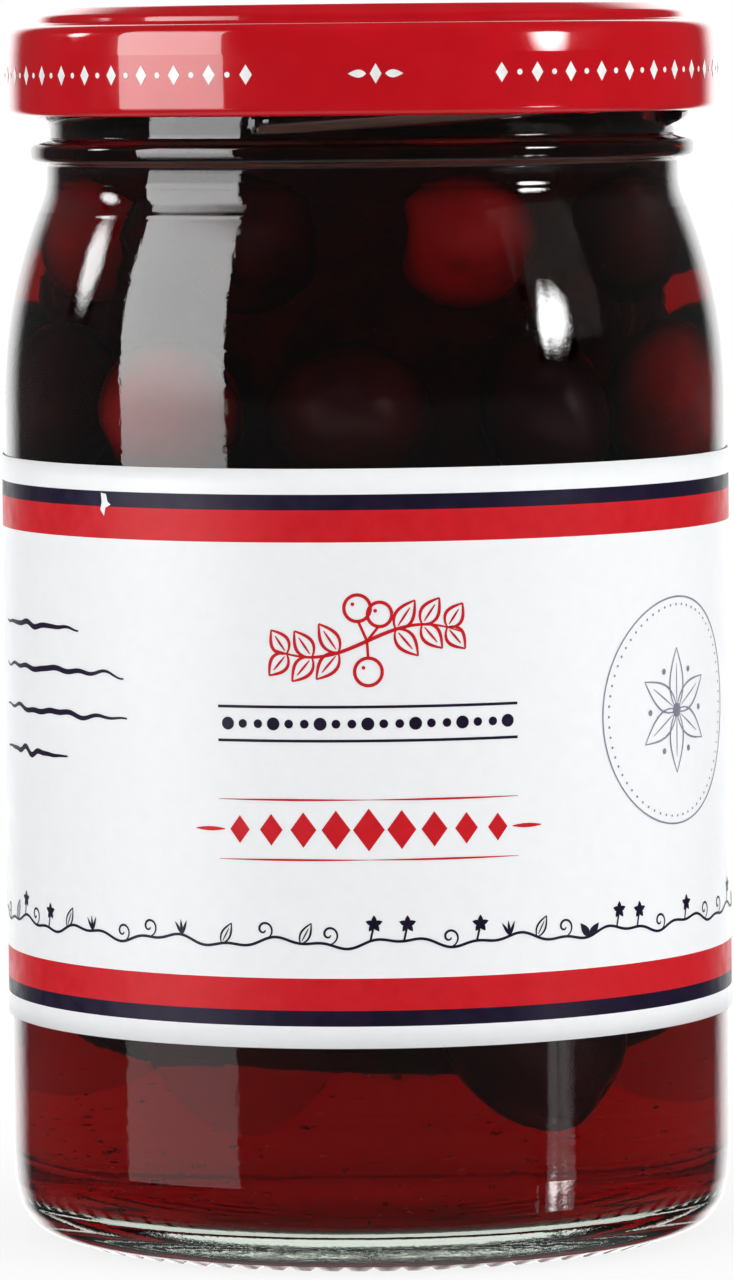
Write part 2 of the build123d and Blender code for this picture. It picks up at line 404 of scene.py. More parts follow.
inner_lacquer = new_material("pale_inner_lacquer", srgb(214, 200, 172), 0.3)
mottle(inner_lacquer, [(208, 194, 164), (220, 208, 182)], 260)
uneven_gloss(inner_lacquer, 0.22, 0.4, 300)

lid_print = new_material("lid_print_white", srgb(240, 240, 238), 0.3)
mottle(lid_print, [(232, 230, 228), (246, 246, 244)], 900)

compound = new_material("sealing_compound", srgb(226, 222, 212), 0.55)
mottle(compound, [(218, 212, 200), (232, 229, 222)], 400)
ripple(compound, 1200, 0.03)


def paper(name, *shades):
    """Coated paper or ink on it, with faint fibres and uneven ink."""
    made = new_material(name, srgb(*shades[0]), 0.35, Specular_IOR_Level=0.2)
    mottle(made, shades, 700, 6.0)
    uneven_gloss(made, 0.3, 0.45, 500)
    ripple(made, 900, 0.008, detail=6.0, stretch=(1, 1, 0.5))
    return made


label_white = paper("label_paper_white", (241, 243, 245), (243, 245, 247))
label_red = paper("label_ink_red", (198, 12, 26), (206, 18, 32))
label_navy = paper("label_ink_navy", (22, 14, 38), (30, 20, 48))
label_grey = paper("label_ink_grey", (128, 124, 146), (146, 142, 162))
label_edge = paper("label_paper_edge", (214, 214, 210), (228, 228, 224))


def skin(name, shades, roughness, height, scale):
    """The skin of a fruit, mottled and a little uneven, with the faint shine that it has under syrup and
    painted shade at its turned-away edge.
    """
    made = new_material(name, srgb(*shades[0]), roughness, Specular_IOR_Level=0.12,
                        Subsurface_Weight=0.15, Subsurface_Radius=(0.004, 0.0008, 0.0006))
    mottle(made, shades, scale)
    # Painted shade: the skin's colour darkens where it turns away
    paint_edge_shade(made, 0.15, 0.8, 0.25)
    ripple(made, scale * 3, height)
    return made


soaked_skin = new_material("soaked_plum_skin", srgb(226, 150, 140), 0.08, Transmission_Weight=0.95, IOR=1.01)
mottle(soaked_skin, [(214, 132, 122), (236, 184, 172)], 80)
# Painted light and shade: one cherry skin in a bright copy for cherries lit near the glass and a dark copy
# for those in shade deeper in the syrup
bright_cherry_painted_light = skin("bright_cherry_painted_light", [(90, 6, 12), (142, 14, 20), (152, 24, 26)], 0.25, 0.08, 90)
dim_cherry_painted_shade = skin("dim_cherry_painted_shade", [(24, 6, 10), (42, 8, 14), (54, 12, 16)], 0.25, 0.08, 90)
plum_skin = skin("plum_skin", [(26, 8, 16), (42, 12, 20), (56, 18, 26)], 0.3, 0.12, 80)
strawberry_skin = skin("strawberry_skin", [(56, 8, 12), (90, 14, 18), (106, 32, 28)], 0.35, 0.1, 110)
grape_skin = skin("grape_skin", [(20, 6, 14), (34, 8, 20), (46, 14, 26)], 0.28, 0.06, 70)
pulp = skin("fruit_pulp", [(16, 5, 7), (30, 8, 10), (44, 12, 14)], 0.6, 0.3, 200)
seed_tan = skin("fruit_seed", [(196, 150, 84), (222, 184, 112)], 0.4, 0.02, 300)
scar_brown = skin("stem_scar", [(70, 40, 26), (104, 66, 40)], 0.6, 0.05, 300)


def colour_rows(piece, first_row, last_row, index):
    """Gives a turned piece's faces from one row of its outline to another a material of their own."""
    for face in piece.data.polygons[first_row * SEGMENTS:last_row * SEGMENTS]:
        face.material_index = index


# Glass jar: one closed turned surface, with the thread, knurls and seams raised on its own rows
shoulder_centre_r = BODY_R - SHOULDER_RADIUS
neck_z = JAR_TOP - NECK_DROP
shoulder_z = neck_z - sqrt(SHOULDER_RADIUS**2 - (NECK_R - shoulder_centre_r) ** 2)
inner_r = BODY_R - WALL
inner_shoulder = SHOULDER_RADIUS - WALL
bead_foot = JAR_TOP - BEAD_DROP - BEAD_HALF
bead_top = JAR_TOP - BEAD_DROP + BEAD_HALF
thread_z = JAR_TOP - THREAD_DROP


def shoulder_arc(radius, end_r, steps):
    """The shoulder's outline, from where it leaves the upright wall to the neck."""
    end = degrees(acos((end_r - shoulder_centre_r) / radius))
    return arc((shoulder_centre_r, shoulder_z), radius, 0, end, steps)


def thread_rise(angle, height):
    """How far the thread stands out: steep under, flatter above, blunt at its toe, faded at its end."""
    proud = 0
    for start in range(THREAD_COUNT):
        run = (angle - THREAD_START - start * 360 / THREAD_COUNT) % 360
        if run > THREAD_SWEEP:
            continue
        up = height - (thread_z + THREAD_LEAD * run / 360)
        toe = smoothstep(0, THREAD_TOE, run)
        fade = smoothstep(THREAD_SWEEP, THREAD_SWEEP - THREAD_FADE, run)
        flank = smoothstep(0, THREAD_UNDER, up) * smoothstep(THREAD_TALL, THREAD_TALL - THREAD_OVER, up)
        proud = max(proud, THREAD_DEPTH * toe * (THREAD_FAINT + (1 - THREAD_FAINT) * fade) * flank)
    return proud


def shape_glass(radius, angle, height):
    """Adds the thread, the knurls and rings of the base, and the lines and seams of the mould."""
    outside = radius > BORE_R + 1
    if outside and bead_top < height < JAR_TOP - RIM_ROUND:
        radius += thread_rise(angle, height)
    if radius < PUSH_UP_R - 3 and height < PUSH_UP + 1:
        height += BASE_RING_DEPTH * sin(TURN * radius / BASE_RING_PITCH)
    if BEARING_IN_R < radius < BEARING_OUT_R + 0.6 and height < 0.6:
        knurl = max(0, cos(radians(KNURLS * angle))) ** 2
        height += KNURL_DEPTH * knurl * (1 if height < 0.05 else 0.4)
    if outside:
        for line in MOULD_LINES:
            radius += LINE_PROUD * (1 - smoothstep(0, LINE_HALF, abs(height - line)))
    if outside and height > SEAM_FOOT:
        past = (angle - SEAM_ANGLE + 90) % 180
        off = min(past, 180 - past) * TURN * radius / 360
        radius -= SEAM_PROUD * smoothstep(0, SEAM_WIDTH, off)
    return radius, angle, height


def inner_wall(gap):
    """The inner wall from the middle of its floor to the fill, or a skin that follows it at a gap."""
    return [
        *[(r, FLOOR_Z + rise + gap) for r, rise in FLOOR_DOME],
        *arc((inner_r - INNER_HEEL, FLOOR_Z + INNER_HEEL), INNER_HEEL - gap, -90, 0, 14),
        *rows_between((inner_r - gap, FLOOR_Z + INNER_HEEL + 1), (inner_r - gap, shoulder_z - 2), 6),
        *shoulder_arc(inner_shoulder - gap, BORE_R - gap, 24),
        (BORE_R - gap, FILL_Z),
    ]


NECK_BLEND_ROWS = 6
outer_shoulder = shoulder_arc(SHOULDER_RADIUS, NECK_R, 40)
neck = divided(rounded([
    outer_shoulder[-NECK_BLEND_ROWS],
    (NECK_R, neck_z, NECK_ROUND),
    (NECK_R, bead_foot + 0.2),
], 16)[:-1], LINE_ROW)
bead = rounded([
    (NECK_R, bead_foot - 0.5),
    (NECK_R, bead_foot + 0.2, 0.5),
    (BEAD_R, bead_foot + 0.5, 0.8),
    (BEAD_R, bead_top - 0.5, 0.8),
    (FINISH_R, bead_top, 0.4),
    (FINISH_R, bead_top + 0.6),
], 6)
finish = (FINISH_R, bead_top + 0.7), (FINISH_R, JAR_TOP - RIM_ROUND - 0.3)
glass_outline = [
    (0, PUSH_UP + 0.4),
    *rows_between((0.8, PUSH_UP + 0.4), (PUSH_UP_R - 3.3, PUSH_UP), 0.8),
    *rounded([(PUSH_UP_R - 3, PUSH_UP), (PUSH_UP_R, PUSH_UP - 0.2, 1),
              (BEARING_IN_R, 0.02, 0.6), (BEARING_IN_R + 0.6, 0)]),
    *rows_between((BEARING_IN_R + 0.7, 0), (BEARING_OUT_R - 0.3, 0), 0.4),
    *rounded([(BEARING_OUT_R - 0.2, 0), (BEARING_OUT_R + 0.1, 0, 0.6), *[(r, z, 3) for r, z in HEEL_BENDS],
              (BODY_R, HEEL_BENDS[-1][1] + 4)], 7),
    *rows_between((BODY_R, HEEL_BENDS[-1][1] + 6), (BODY_R, shoulder_z - 1), 3),
    *outer_shoulder[:-NECK_BLEND_ROWS],
    *neck,
    *bead,
    *rows_between(*finish, FINISH_ROW),
    *rounded([(FINISH_R, JAR_TOP - RIM_ROUND - 0.2), (FINISH_R, JAR_TOP, RIM_ROUND),
              (BORE_R, JAR_TOP, RIM_ROUND), (BORE_R, JAR_TOP - 3)], 8),
]
wetted = inner_wall(0)[::-1]
jar_skin = lathe([*glass_outline, *wetted], shape=shape_glass)
jar = make_piece("jar_glass", *jar_skin, "jar", "glass", glass, wet_glass)
colour_rows(jar, len(glass_outline), len(glass_outline) + len(wetted), 1)
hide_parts("glass_jar")


# Lid: one sheet of steel, red outside and pale inside, with a rolled curl and four lugs
def loft(sections):
    """Vertices and faces of a capped skin over closed sections that have the same number of points."""
    size = len(sections[0])
    vertices = [point for section in sections for point in section]
    faces = [list(range(size))[::-1], [size * (len(sections) - 1) + corner for corner in range(size)]]
    for row in range(len(sections) - 1):
        for corner in range(size):
            here, after = size * row + corner, size * row + (corner + 1) % size
            faces.append([here, after, after + size, here + size])
    return vertices, faces


panel_z = LID_TOP - PANEL_SINK
ledge_z = LID_TOP - RING_RISE
curl_centre = (LID_R - CURL_R, SKIRT_Z + CURL_R)
outside = rounded([
    (0, panel_z + 0.05),
    (PANEL_R - 4, panel_z + 0.05, 2),
    (PANEL_R - 1.5, panel_z, 1),
    (PANEL_R, panel_z, 0.7),
    (PANEL_R + PANEL_STEP, LID_TOP, 0.8),
    (CROWN_R, LID_TOP, 2.0),
    (RING_R - 0.25, LID_TOP - RING_FALL, 0.7),
    (RING_R, ledge_z, 0.35),
    (LID_R - 0.25, ledge_z - LEDGE_FALL, 1.3),
    (LID_R, ledge_z - 3, 1.0),
    (LID_R, SKIRT_Z + 2 * CURL_R, 0.5),
    (LID_R, SKIRT_Z + CURL_R + 0.1),
], 6)
curl = arc(curl_centre, CURL_R, 0, -250, 14)
inside = rounded([
    (LID_R - SHEET - 0.05, SKIRT_Z + 2 * CURL_R + 0.3),
    (LID_R - SHEET, SKIRT_Z + 3 * CURL_R, 0.5),
    (LID_R - SHEET, ledge_z - LEDGE_FALL - SHEET, 1.1),
    (RING_R - SHEET, ledge_z - SHEET, 0.35),
    (RING_R - SHEET - 0.2, LID_TOP - RING_FALL - 0.1, 0.6),
    (CROWN_R, LID_TOP - SHEET, 1.8),
    (PANEL_R + PANEL_STEP, LID_TOP - SHEET, 0.7),
    (PANEL_R, panel_z - SHEET, 0.7),
    (0, panel_z - SHEET),
], 5)
lid = make_piece("lid_steel", *lathe([*outside, *curl, *inside]), "lid", "lid_lacquer",
                 lacquer, inner_lacquer)
colour_rows(lid, len(outside) + len(curl) - 2, len(outside) + len(curl) + len(inside), 1)
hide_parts("lid_shell")


def lug_section(angle, reach):
    """A lug's rounded outline across its width, at a distance inwards from the curl's centre."""
    tip = smoothstep(LUG_REACH, LUG_REACH - LUG_TIP, reach)
    half = LUG_WIDTH / 2 * (LUG_TIP_SHARE + (1 - LUG_TIP_SHARE) * tip)
    rise = THREAD_LEAD / (TURN * (LID_R - reach))
    radius = LID_R - CURL_R - reach
    flat = LUG_THICK / 2 - LUG_ROUNDING
    corners = []
    for side, up, first_bend in ((-1, -1, 270), (-1, 1, 180), (1, 1, 90), (1, -1, 0)):
        for step in range(5):
            bend = radians(first_bend - 90 * step / 4)
            across = side * (half - LUG_ROUNDING) + LUG_ROUNDING * cos(bend)
            height = SKIRT_Z + LUG_THICK / 2 + up * flat + LUG_ROUNDING * sin(bend)
            turned = degrees(across / radius)
            corners.append(polar(radius, angle + turned, height + LUG_LIFT + rise * across))
    return corners


for number in range(LUG_COUNT):
    lug_at = LUG_ANGLE + 360 * number / LUG_COUNT
    sections = [lug_section(lug_at, LUG_REACH * step / 8) for step in range(9)]
    make_piece(f"lid_lug_{number + 1}", *loft(sections), "lid", "lid_lacquer", lacquer)

# Sealing ring: cast compound with soft corners and the mark of the glass rim
seal_in = BORE_R - 0.7
seal_out = ring_high.x / MM
seal_top = ring_high.z / MM
seat_z = ring_low.z / MM
ring_outline = rounded([
    (seal_in, seal_top - 0.4),
    (seal_in, seal_top, 0.15),
    (CROWN_R - 0.3, seal_top, 0.5),
    (seal_out, seal_top - 0.63, 0.25),
    (seal_out, seat_z, 0.3),
    (FINISH_R - 0.2, seat_z, 0.2),
    (FINISH_R - 0.5, seat_z + 0.1, 0.2),
    (BORE_R + 0.5, seat_z + 0.1, 0.2),
    (BORE_R + 0.1, seat_z, 0.2),
    (seal_in, seat_z),
], 4)
seal = make_piece("seal_compound", *lathe(ring_outline), "lid_lift", "lid_compound", compound)
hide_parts("sealing_ring")

# Paper label with its printed bands, open at the back
LABEL_PAPER = 0.12
LABEL_GAP = 9.0
PAPER, RED, NAVY, EDGE = range(4)
BANDS = ((24.0, PAPER), (25.49, NAVY), (28.55, RED), (69.68, PAPER), (72.71, RED), (74.17, NAVY),
         (LABEL_TOP, PAPER))
PRINT_PROUD = 0.03

gap_half = degrees(LABEL_GAP / 2 / BODY_R)
heights, row_colours, low = [LABEL_BOTTOM], [], LABEL_BOTTOM
for top, colour in BANDS:
    count = max(1, round((top - low) / 2))
    heights += [low + (top - low) * (step + 1) / count for step in range(count)]
    row_colours += [colour] * count
    low = top
paper_r = LABEL_R - LABEL_PAPER
sheet_sections = []
for step in range(SEGMENTS + 1):
    at = 90 + gap_half + (360 - 2 * gap_half) * step / SEGMENTS
    front = [polar(LABEL_R, at, z) for z in heights]
    sheet_sections.append(front + [polar(paper_r, at, z) for z in reversed(heights)])
paper_label = make_piece("paper_label", *loft(sheet_sections), "jar", "label_paper",
                         label_white, label_red, label_navy, label_edge)
around = 2 * len(heights)
for number, face in enumerate(paper_label.data.polygons[2:]):
    row = number % around
    face.material_index = row_colours[row] if row < len(row_colours) else EDGE
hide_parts("label")


# Print: flat strokes and shapes laid on a cylinder, drawn as distances round it and up it in millimetres
def curve(function, first, last, steps):
    """Points of a curve drawn by a function of one number."""
    return [function(first + (last - first) * step / steps) for step in range(steps + 1)]


def circle(across, height, radius, sides):
    """Points round a circle, the first of them also at its end."""
    turns = [TURN * side / sides for side in range(sides + 1)]
    return [(across + radius * cos(turn), height + radius * sin(turn)) for turn in turns]


class Print:
    """Collects strokes and filled shapes on a cylinder of some radius, and makes them one piece."""

    def __init__(self, radius):
        self.radius = radius + PRINT_PROUD
        self.vertices, self.faces = [], []

    def place(self, across, height):
        self.vertices.append(polar(self.radius, -90 + degrees(across / self.radius), height))
        return len(self.vertices) - 1

    def stroke(self, points, width, ends=1.0):
        """A line along points, which narrows to a share of its width at its ends."""
        pairs = []
        for index, (across, height) in enumerate(points):
            before, after = points[max(0, index - 1)], points[min(len(points) - 1, index + 1)]
            run = Vector((after[0] - before[0], after[1] - before[1])).normalized()
            share = index / (len(points) - 1)
            half = width / 2 * (ends + (1 - ends) * sin(pi * share))
            pairs.append((self.place(across - run.y * half, height + run.x * half),
                          self.place(across + run.y * half, height - run.x * half)))
        for (left, right), (next_left, next_right) in zip(pairs, pairs[1:]):
            self.faces.append([right, next_right, next_left, left])

    def shape(self, points):
        """A small filled shape, whose middle can be seen from all of its edge."""
        middle = self.place(*[sum(values) / len(points) for values in zip(*points)])
        corners = [self.place(*point) for point in points]
        for index, corner in enumerate(corners):
            self.faces.append([middle, corner, corners[(index + 1) % len(corners)]])

    def dot(self, across, height, radius, sides=14):
        self.shape(circle(across, height, radius, sides)[:-1])

    def lozenge(self, across, height, half_wide, half_tall):
        self.shape([(across + half_wide, height), (across, height + half_tall),
                    (across - half_wide, height), (across, height - half_tall)])

    def leaf(self, across, height, length, width, angle, outline=0):
        """A pointed leaf that runs off from a point at an angle, filled or as an outline with a vein."""
        turned = radians(angle)
        along = Vector((cos(turned), sin(turned)))
        aside = Vector((-along.y, along.x))
        root = Vector((across, height))
        edge = [(step / 10, sin(pi * (step / 10) ** 0.8)) for step in range(11)]
        left = [tuple(root + along * length * run + aside * width / 2 * wide) for run, wide in edge]
        right = [tuple(root + along * length * run - aside * width / 2 * wide) for run, wide in edge]
        if outline:
            self.stroke(left, outline, 0.5)
            self.stroke(right, outline, 0.5)
            vein = [tuple(root + along * length * step / 8) for step in range(1, 7)]
            self.stroke(vein, outline * 0.7, 0.4)
        else:
            self.shape(left + right[-2:0:-1])

    def piece(self, name, body, slot, ink):
        make_piece(name, self.vertices, self.faces, body, slot, ink)


# Label print in red: a sprig with berries, and a rule of lozenges under it
red_print, navy_print, grey_print, white_print = (Print(LABEL_R) for _ in range(4))
STEM_Z = 60.4
STEM_HALF = 9.0
SPRIG_LINE = 0.32
RULE_LINE = 0.26
FINE_LINE = 0.2


def stem(run):
    """The sprig's stem, a shallow wave about the middle of the label."""
    return run, STEM_Z + 1.5 * sin(run / 3.4)


red_print.stroke(curve(stem, -STEM_HALF, STEM_HALF, 60), 0.36, 0.3)
for run in (-7.6, -5.2, -2.7, 2.7, 5.2, 7.6):
    foot_x, foot_z = stem(run)
    away = 1 if run > 0 else -1
    for side in (1, -1):
        lean = 90 - away * 90 + side * away * (56 if side > 0 else 50)
        red_print.leaf(foot_x, foot_z, 3.6 - 0.12 * abs(run), 1.7, lean, outline=SPRIG_LINE)
for across, up, size in ((-0.9, 3.1, 1.25), (1.2, 2.5, 1.15), (0.1, -2.9, 1.3)):
    red_print.stroke(circle(across, STEM_Z + up, size, 28), SPRIG_LINE)
    shares = [1 - k / 6 for k in range(7)]
    stalk = [(across * share * 0.9, STEM_Z + (up - copysign(size, up)) * share) for share in shares]
    red_print.stroke(stalk, SPRIG_LINE * 0.8)
    red_print.dot(across - size * 0.35, STEM_Z + up + size * 0.3, 0.18)

LOZENGES_Z = 42.6
LOZENGE_PITCH = 3.1
LOZENGE_HALF = 1.5
for number in range(-4, 5):
    size = LOZENGE_HALF - 0.13 * abs(number)
    red_print.lozenge(number * LOZENGE_PITCH, LOZENGES_Z, size, size * 1.35)
for side in (-1, 1):
    red_print.stroke([(side * (13.9 + 0.6 * k), LOZENGES_Z) for k in range(6)], 0.42, 0.2)
    for up in (-2.835, 2.835):
        red_print.stroke([(side * 0.5 * k, LOZENGES_Z + up) for k in range(30)], FINE_LINE, 0.2)

# Label print in navy and grey: a rule of dots, a round stamp, wavy lines and a vine round the jar
DOTS_Z = 52.6
DOT_PITCH = 1.5
for up in (-1.6, 1.6):
    navy_print.stroke([(-14.5 + 0.5 * k, DOTS_Z + up) for k in range(59)], RULE_LINE)
for number in range(-9, 10):
    navy_print.dot(number * DOT_PITCH, DOTS_Z, 0.42 if number % 3 else 0.62)

STAMP_AT = 35.0
STAMP_Z = 52.3
STAMP_R = 10.9
STAMP_BORDER = 0.75
grey_print.stroke(circle(STAMP_AT, STAMP_Z, STAMP_R, 96), 0.16)
for across, height in circle(STAMP_AT, STAMP_Z, STAMP_R - STAMP_BORDER, 64)[:-1]:
    grey_print.dot(across, height, 0.13, 8)
for number in range(6):
    spoke = 90 + 60 * number
    grey_print.leaf(STAMP_AT, STAMP_Z, 6.0, 2.4, spoke, outline=FINE_LINE)
    between = radians(spoke + 30)
    grey_print.dot(STAMP_AT + 4.4 * cos(between), STAMP_Z + 4.4 * sin(between), 0.3)
grey_print.dot(STAMP_AT, STAMP_Z, 0.7)

WAVES_FROM = -49.0
WAVES_TO = (-31.5, -25.2, -24.8, -33.5)
WAVES_Z = 60.8
WAVES_PITCH = 4.1
wander = random.Random(7)
for row, end in enumerate(WAVES_TO):
    bends = [wander.uniform(-0.12, 0.12) for _ in range(6)]
    line = []
    for k in range(61):
        wave = sum(bend * sin((n + 1) * k / 9) for n, bend in enumerate(bends))
        line.append((WAVES_FROM + (end - WAVES_FROM) * k / 60, WAVES_Z - WAVES_PITCH * row + wave))
    navy_print.stroke(line, 0.55, 0.3)

VINE_Z = 31.9
VINE_FROM, VINE_TO = -100.0, 100.0
CURL_SIZE = 0.95


def vine(run):
    return run, VINE_Z + 0.35 * sin(run * 0.55) + 0.22 * sin(run * 1.31 + 1)


def tendril(turn):
    """A spiral that winds in from the place on the vine where it grows."""
    radius = CURL_SIZE - 0.11 * turn
    return x + radius * cos(turn - 1.57), z + CURL_SIZE + radius * sin(turn - 1.57)


navy_print.stroke(curve(vine, VINE_FROM, VINE_TO, 600), RULE_LINE)
run = VINE_FROM + 2
while run < VINE_TO - 3:
    x, z = vine(run)
    kind = wander.choice(("leaf", "pair", "curl", "bud", "blade"))
    if kind == "leaf":
        navy_print.leaf(x, z, 2.2, 0.9, 62, outline=FINE_LINE)
    elif kind == "pair":
        navy_print.leaf(x, z, 1.7, 0.8, 48)
        navy_print.leaf(x, z, 1.7, 0.8, 128)
    elif kind == "curl":
        navy_print.stroke(curve(tendril, 0, 7.5, 40), 0.22, 0.5)
    elif kind == "bud":
        navy_print.stroke([(x + 0.06 * k, z + 0.26 * k) for k in range(7)], FINE_LINE)
        for petal in range(5):
            navy_print.leaf(x + 0.36, z + 1.6, 0.85, 0.5, 90 + 72 * petal)
    else:
        for lean in (70, 96, 122):
            navy_print.leaf(x, z, 1.5, 0.3, lean)
    run += wander.uniform(2.6, 4.6)

# A small scuff that bares the paper where the dark bands meet
SCUFF = ((-27.9, 74.0), (-27.2, 73.9), (-27.0, 73.2), (-26.6, 72.9), (-27.3, 72.6),
         (-27.5, 71.8), (-28.0, 72.4), (-27.8, 73.1))
white_print.shape(SCUFF)

red_print.piece("label_print_red", "jar", "label_paper", label_red)
navy_print.piece("label_print_navy", "jar", "label_paper", label_navy)
grey_print.piece("label_print_grey", "jar", "label_paper", label_grey)
white_print.piece("label_scuff", "jar", "label_paper", label_white)

# Lid print: a chain of lozenges and dots between three small ornaments
lid_chain = Print(LID_R)
CHAIN_Z = 113.5
CHAIN_LINKS = 26
CHAIN_START, CHAIN_SWEEP = 20, 80
ORNAMENT_AT = 2.2
mm_per_degree = TURN * LID_R / 360
for third in range(3):
    middle = (ORNAMENT_AT + 120 * third) * mm_per_degree
    lid_chain.lozenge(middle, CHAIN_Z, 0.55, 0.95)
    for side in (-1, 1):
        lid_chain.leaf(middle + side * 0.9, CHAIN_Z, 1.7, 0.75, 90 - side * 90)
    for link in range(CHAIN_LINKS + 1):
        at = middle + (CHAIN_START + CHAIN_SWEEP * link / CHAIN_LINKS) * mm_per_degree
        if link % 2:
            lid_chain.dot(at, CHAIN_Z, 0.28, 10)
        else:
            lid_chain.lozenge(at, CHAIN_Z, 0.62, 0.95)
lid_chain.piece("lid_print", "lid", "lid_lacquer", lid_print)

# Syrup: it fills the glass just clear of its wetted wall, and climbs it a little at the top
SYRUP_GAP = 0.05
MENISCUS = 0.5
syrup_outline = [
    *inner_wall(SYRUP_GAP),
    (BORE_R - 0.35, FILL_Z - 0.05),
    (BORE_R - 1.2, FILL_Z - 0.8 * MENISCUS),
    (BORE_R - 3, FILL_Z - MENISCUS),
    (0, FILL_Z - MENISCUS),
]
liquid = make_piece("rum_syrup_body", *lathe(syrup_outline), "jar", "syrup", syrup)
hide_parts("syrup")

# Pulp: flat dark flecks that hang in the syrup, most of them low down, and a ragged core behind the fruit
FLECK_COUNT = 460
FLECKS_LOW_TALL = 13
FLECKS_HIGH = (20, 105)
FLECKS_WIDE_UNDER = 80
flecks = random.Random(11)
fleck_points, fleck_faces = [], []
for number in range(FLECK_COUNT):
    turned = flecks.uniform(0, 360)
    low_down = number % 4 > 0
    up = FLOOR_Z + 1 + FLECKS_LOW_TALL * flecks.random() ** 2.2 if low_down else flecks.uniform(*FLECKS_HIGH)
    if up < FLECKS_WIDE_UNDER:
        out = (inner_r - 1.5) * sqrt(flecks.uniform(0.3, 1))
    else:
        out = BORE_R * flecks.uniform(0.75, 0.96)
    if up < FLOOR_Z + INNER_HEEL:
        out = min(out, inner_r - INNER_HEEL)
    size = flecks.uniform(0.12, 0.5 if low_down else 0.3)
    middle = Vector(polar(out, turned, up))
    corners = [Vector([flecks.uniform(-1, 1) for _ in range(3)]).normalized() * size * MM for _ in range(4)]
    first = len(fleck_points)
    fleck_points += [tuple(middle + corner * Vector((1.4, 1.4, 0.3))) for corner in corners]
    fleck_faces += [[first, first + 1, first + 2], [first, first + 3, first + 1],
                    [first + 1, first + 3, first + 2], [first + 2, first + 3, first]]
make_piece("pulp_flecks", fleck_points, fleck_faces, "jar", "syrup", plum_skin, smooth=False)

CORE_LOW, CORE_HIGH = 17.8, FILL_Z - 1.5
CORE_R = 21.5
CORE_LUMPS = 2.6


def ragged(radius, angle, height):
    """Pushes the core's skin in and out by lumps as wide as fruit."""
    here = Vector(polar(radius, angle, height))
    lump = noise.noise(here * 140) + 0.4 * noise.noise(here * 420)
    return radius + CORE_LUMPS * lump * min(1, radius / 6), angle, height + 1.2 * lump


core_corners = rounded([(0, CORE_LOW), (CORE_R, CORE_LOW, 5), (CORE_R, 90), (CORE_R + 1, CORE_HIGH - 6),
                        (CORE_R + 1, CORE_HIGH, 4), (0, CORE_HIGH)], 8)
core_outline = divided(core_corners, 1.5)
make_piece("pulp_core", *lathe(core_outline, 120, ragged), "jar", "syrup", pulp)

# Fruit: each a rounded body with its dimple, cleft or seeds, turned at random and fitted to its CAD box
FRUIT_ROWS = 40
FRUIT_COLUMNS = 56
FRUIT_FIT = 0.985
FRUIT_TALL = {"cherry": 0.96, "plum": 1.1, "strawberry": 1.12, "grape": 1.1}
SEED_COUNT = 90
SEED_PIT = 0.035
SEED_PROUD, SEED_HALF_WIDE, SEED_HALF_LONG = 0.03, 0.032, 0.055
SCAR_SIDES = 16


def dent(angle, width):
    """A smooth dent of depth one at an angle of zero."""
    return exp(-((angle / width) ** 2))


def fruit_radius(kind, down, around):
    """The share of full size at an angle down from the stalk and an angle round it, both in radians."""
    cleft = dent(atan2(sin(around), cos(around)), 0.16) * sin(down)
    if kind == "cherry":
        return 1 - 0.26 * dent(down, 0.36) - 0.03 * cleft - 0.05 * dent(pi - down, 0.2)
    if kind == "plum":
        return 1.06 - 0.14 * sin(down) ** 2 - 0.1 * dent(down, 0.3) - 0.055 * cleft
    if kind == "strawberry":
        taper = 0.74 + 0.26 * cos(down - 0.5)
        return taper * (1 + 0.02 * sin(3 * around)) - 0.1 * dent(down, 0.35)
    return 1.04 - 0.1 * sin(down) ** 2 - 0.06 * dent(down, 0.16)


def direction(down, around):
    """The unit vector at an angle down from the stalk and an angle round it."""
    return Vector((sin(down) * cos(around), sin(down) * sin(around), cos(down)))


def seed_places():
    """Directions spread evenly over a fruit, as angles down and around, away from its two ends."""
    for number in range(SEED_COUNT):
        down = acos(1 - 2 * (number + 0.5) / SEED_COUNT)
        if 0.45 < down < 2.9:
            yield down, number * pi * (3 - sqrt(5))


